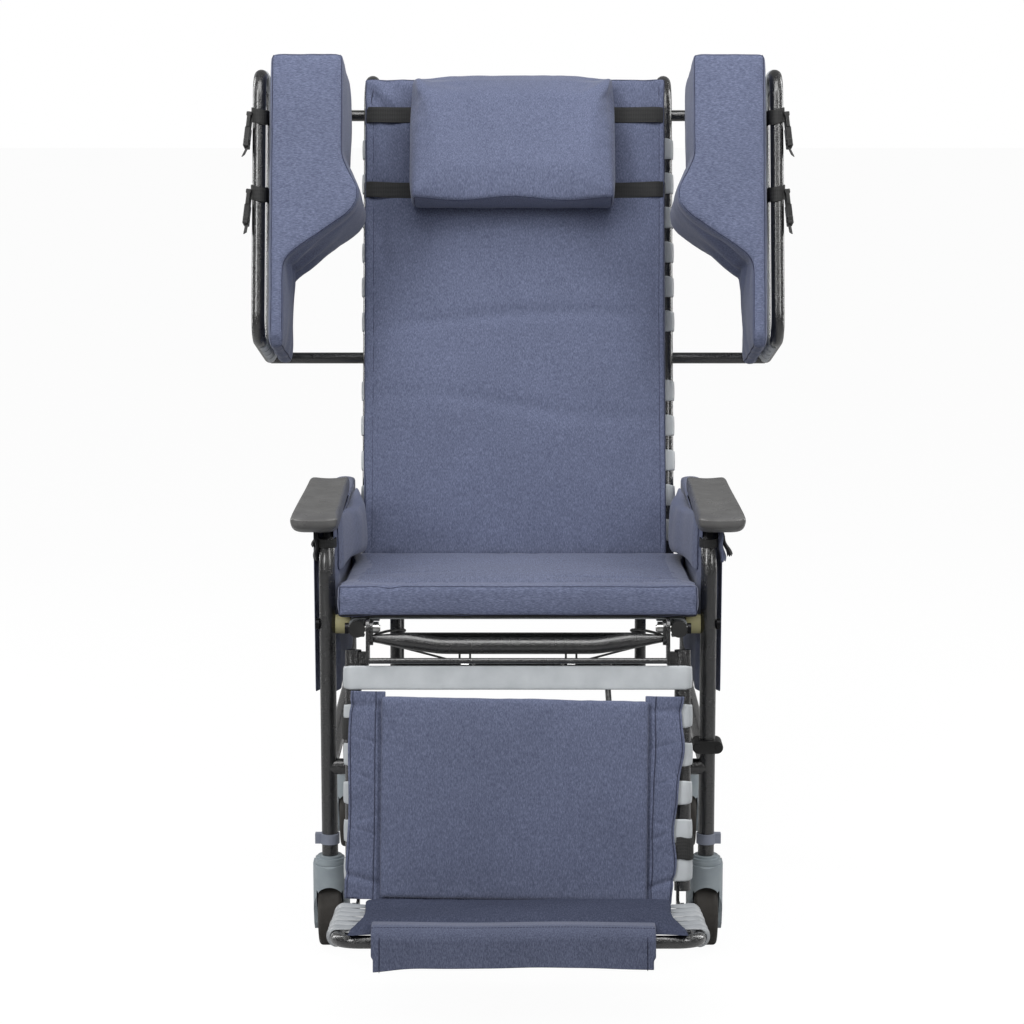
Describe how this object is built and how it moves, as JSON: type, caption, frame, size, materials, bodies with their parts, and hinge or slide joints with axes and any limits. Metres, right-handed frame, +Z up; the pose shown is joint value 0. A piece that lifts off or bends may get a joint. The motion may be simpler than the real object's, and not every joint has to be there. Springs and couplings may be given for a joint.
{
  "type": "patient recliner chair",
  "caption": "Tubular care recliner with padded seat, tall back, sliding side wings, head pillow, lifting legrest, folding footrest and casters.",
  "frame": {"origin": "on the floor, on the symmetry plane, midway between the front and rear caster stems", "axes": "+Z up, +Y towards the back of the chair, +X to the right of someone looking at the chair from the front"},
  "size_m": [0.8966, 1.2685, 1.408],
  "materials": {
    "frame_paint": "hammered gloss",
    "upholstery": "woven",
    "strap_vinyl": "satin",
    "webbing": "ribbed",
    "arm_pad_skin": "satin",
    "nylon_spacer": "satin",
    "zinc": "plated",
    "polished_rod": "polished",
    "spring_paint": "satin",
    "black_plastic": "satin",
    "clip_plastic": "satin",
    "caster_plastic": "satin",
    "tyre": "matte"
  },
  "bodies": {
    "base": {"side_frame_left": "frame_paint", "side_frame_right": "frame_paint", "base_cross_tubes": "frame_paint", "arm_pad_left": "arm_pad_skin", "arm_pad_right": "arm_pad_skin", "side_panel_left": "upholstery", "side_panel_right": "upholstery", "tilt_spacers": "nylon_spacer", "base_fasteners": "zinc", "leg_clips": "clip_plastic", "accessory_clamp": "black_plastic", "caster_sockets": "caster_plastic"},
    "seat": {"seat_frame": "frame_paint", "seat_plugs": "black_plastic", "seat_straps": "strap_vinyl", "seat_cushion": "upholstery", "seat_fasteners": "zinc"},
    "back": {"back_frame": "frame_paint", "back_straps": "strap_vinyl", "back_pad": "upholstery", "head_pillow": "upholstery", "pillow_webbing": "webbing", "handle_grip": "arm_pad_skin"},
    "lever_tilt": {"lever_tilt": "black_plastic"},
    "lever_recline": {"lever_recline": "black_plastic"},
    "wing_left": {"wing_frame_left": "frame_paint", "wing_straps_left": "strap_vinyl", "wing_pad_left": "upholstery", "wing_webbing_left": "webbing"},
    "wing_right": {"wing_frame_right": "frame_paint", "wing_straps_right": "strap_vinyl", "wing_pad_right": "upholstery", "wing_webbing_right": "webbing"},
    "legrest": {"legrest_frame": "frame_paint", "legrest_crank": "frame_paint", "legrest_straps": "strap_vinyl", "calf_pad": "upholstery"},
    "footrest": {"footrest_frame": "frame_paint", "footrest_straps": "strap_vinyl", "foot_pad": "upholstery"},
    "legrest_spring_barrels": {"legrest_spring_cylinders": "spring_paint"},
    "legrest_spring_rods": {"legrest_spring_rods": "polished_rod"},
    "tilt_spring_barrel": {"tilt_spring_cylinder": "spring_paint"},
    "tilt_spring_rod": {"tilt_spring_rod": "polished_rod"},
    "recline_spring_barrel": {"recline_spring_cylinder": "spring_paint"},
    "recline_spring_rod": {"recline_spring_rod": "polished_rod"},
    "fork_fl": {"caster_fork_fl": "caster_plastic"},
    "wheel_fl": {"caster_tyre_fl": "tyre", "caster_hub_fl": "caster_plastic"},
    "fork_fr": {"caster_fork_fr": "caster_plastic"},
    "wheel_fr": {"caster_tyre_fr": "tyre", "caster_hub_fr": "caster_plastic"},
    "fork_rl": {"caster_fork_rl": "caster_plastic"},
    "wheel_rl": {"caster_tyre_rl": "tyre", "caster_hub_rl": "caster_plastic"},
    "pedal_rl": {"brake_pedal_rl": "caster_plastic"},
    "fork_rr": {"caster_fork_rr": "caster_plastic"},
    "wheel_rr": {"caster_tyre_rr": "tyre", "caster_hub_rr": "caster_plastic"},
    "pedal_rr": {"brake_pedal_rr": "caster_plastic"}
  },
  "joints": [
    {"name": "seat_tilt", "type": "hinge", "parent": "base", "child": "seat", "pos_m": [0, -0.28, 0.529], "axis": [-1, 0, 0], "range_deg": [0, 25]},
    {"name": "back_recline", "type": "hinge", "parent": "seat", "child": "back", "pos_m": [0, 0.1589, 0.4983], "axis": [-1, 0, 0], "range_deg": [0, 40]},
    {"name": "legrest_lift", "type": "hinge", "parent": "seat", "child": "legrest", "pos_m": [0, -0.3319, 0.5326], "axis": [-1, 0, 0], "range_deg": [0, 70]},
    {"name": "footrest_fold", "type": "hinge", "parent": "legrest", "child": "footrest", "pos_m": [0, -0.42117, 0.11294], "axis": [-1, 0, 0], "range_deg": [0, 45]},
    {"name": "wing_slide_left", "type": "slide", "parent": "back", "child": "wing_left", "axis": [-1, 0, 0], "range_m": [-0.07, 0.03]},
    {"name": "wing_slide_right", "type": "slide", "parent": "back", "child": "wing_right", "axis": [1, 0, 0], "range_m": [-0.07, 0.03]},
    {"name": "lever_tilt_squeeze", "type": "hinge", "parent": "back", "child": "lever_tilt", "pos_m": [0.145, 0.48144, 1.31658], "axis": [1, 0, 0], "range_deg": [0, 20]},
    {"name": "lever_recline_squeeze", "type": "hinge", "parent": "back", "child": "lever_recline", "pos_m": [-0.145, 0.48144, 1.31658], "axis": [1, 0, 0], "range_deg": [0, 20]},
    {"name": "legrest_spring_swing", "type": "hinge", "parent": "seat", "child": "legrest_spring_barrels", "pos_m": [0, 0.08901, 0.37288], "axis": [-1, 0, 0], "range_deg": [-1, 5]},
    {"name": "legrest_spring_stroke", "type": "slide", "parent": "legrest_spring_barrels", "child": "legrest_spring_rods", "axis": [0, -0.9729, 0.2314], "range_m": [0, 0.068]},
    {"name": "tilt_spring_swing", "type": "hinge", "parent": "base", "child": "tilt_spring_barrel", "pos_m": [0, -0.255, 0.306], "axis": [-1, 0, 0], "range_deg": [0, 30]},
    {"name": "tilt_spring_stroke", "type": "slide", "parent": "tilt_spring_barrel", "child": "tilt_spring_rod", "axis": [0, 0.9816, 0.1908], "range_m": [-0.1, 0]},
    {"name": "recline_spring_swing", "type": "hinge", "parent": "seat", "child": "recline_spring_barrel", "pos_m": [0, 0.13689, 0.36953], "axis": [-1, 0, 0], "range_deg": [0, 28]},
    {"name": "recline_spring_stroke", "type": "slide", "parent": "recline_spring_barrel", "child": "recline_spring_rod", "axis": [0, 0.2959, 0.9552], "range_m": [-0.035, 0]},
    {"name": "caster_swivel_fl", "type": "hinge", "parent": "base", "child": "fork_fl", "pos_m": [-0.297, -0.28, 0.15], "axis": [0, 0, 1], "continuous": true},
    {"name": "caster_spin_fl", "type": "hinge", "parent": "fork_fl", "child": "wheel_fl", "pos_m": [-0.297, -0.246, 0.0625], "axis": [1, 0, 0], "continuous": true},
    {"name": "caster_swivel_fr", "type": "hinge", "parent": "base", "child": "fork_fr", "pos_m": [0.297, -0.28, 0.15], "axis": [0, 0, 1], "continuous": true},
    {"name": "caster_spin_fr", "type": "hinge", "parent": "fork_fr", "child": "wheel_fr", "pos_m": [0.297, -0.246, 0.0625], "axis": [1, 0, 0], "continuous": true},
    {"name": "caster_swivel_rl", "type": "hinge", "parent": "base", "child": "fork_rl", "pos_m": [-0.297, 0.28, 0.15], "axis": [0, 0, 1], "continuous": true},
    {"name": "caster_spin_rl", "type": "hinge", "parent": "fork_rl", "child": "wheel_rl", "pos_m": [-0.297, 0.314, 0.0625], "axis": [1, 0, 0], "continuous": true},
    {"name": "brake_press_rl", "type": "hinge", "parent": "fork_rl", "child": "pedal_rl", "pos_m": [-0.297, 0.364, 0.118], "axis": [-1, 0, 0], "range_deg": [0, 12]},
    {"name": "caster_swivel_rr", "type": "hinge", "parent": "base", "child": "fork_rr", "pos_m": [0.297, 0.28, 0.15], "axis": [0, 0, 1], "continuous": true},
    {"name": "caster_spin_rr", "type": "hinge", "parent": "fork_rr", "child": "wheel_rr", "pos_m": [0.297, 0.314, 0.0625], "axis": [1, 0, 0], "continuous": true},
    {"name": "brake_press_rr", "type": "hinge", "parent": "fork_rr", "child": "pedal_rr", "pos_m": [0.297, 0.364, 0.118], "axis": [-1, 0, 0], "range_deg": [0, 12]}
  ],
  "couplings": [
    {"joint": "legrest_spring_swing", "follows": "legrest_lift", "ratio": 0.041975},
    {"joint": "legrest_spring_stroke", "follows": "legrest_lift", "m_per_rad": 0.052406},
    {"joint": "tilt_spring_swing", "follows": "seat_tilt", "ratio": 1.1202},
    {"joint": "tilt_spring_stroke", "follows": "seat_tilt", "m_per_rad": -0.21971},
    {"joint": "recline_spring_swing", "follows": "back_recline", "ratio": 0.65177},
    {"joint": "recline_spring_stroke", "follows": "back_recline", "m_per_rad": -0.045257}
  ]
}
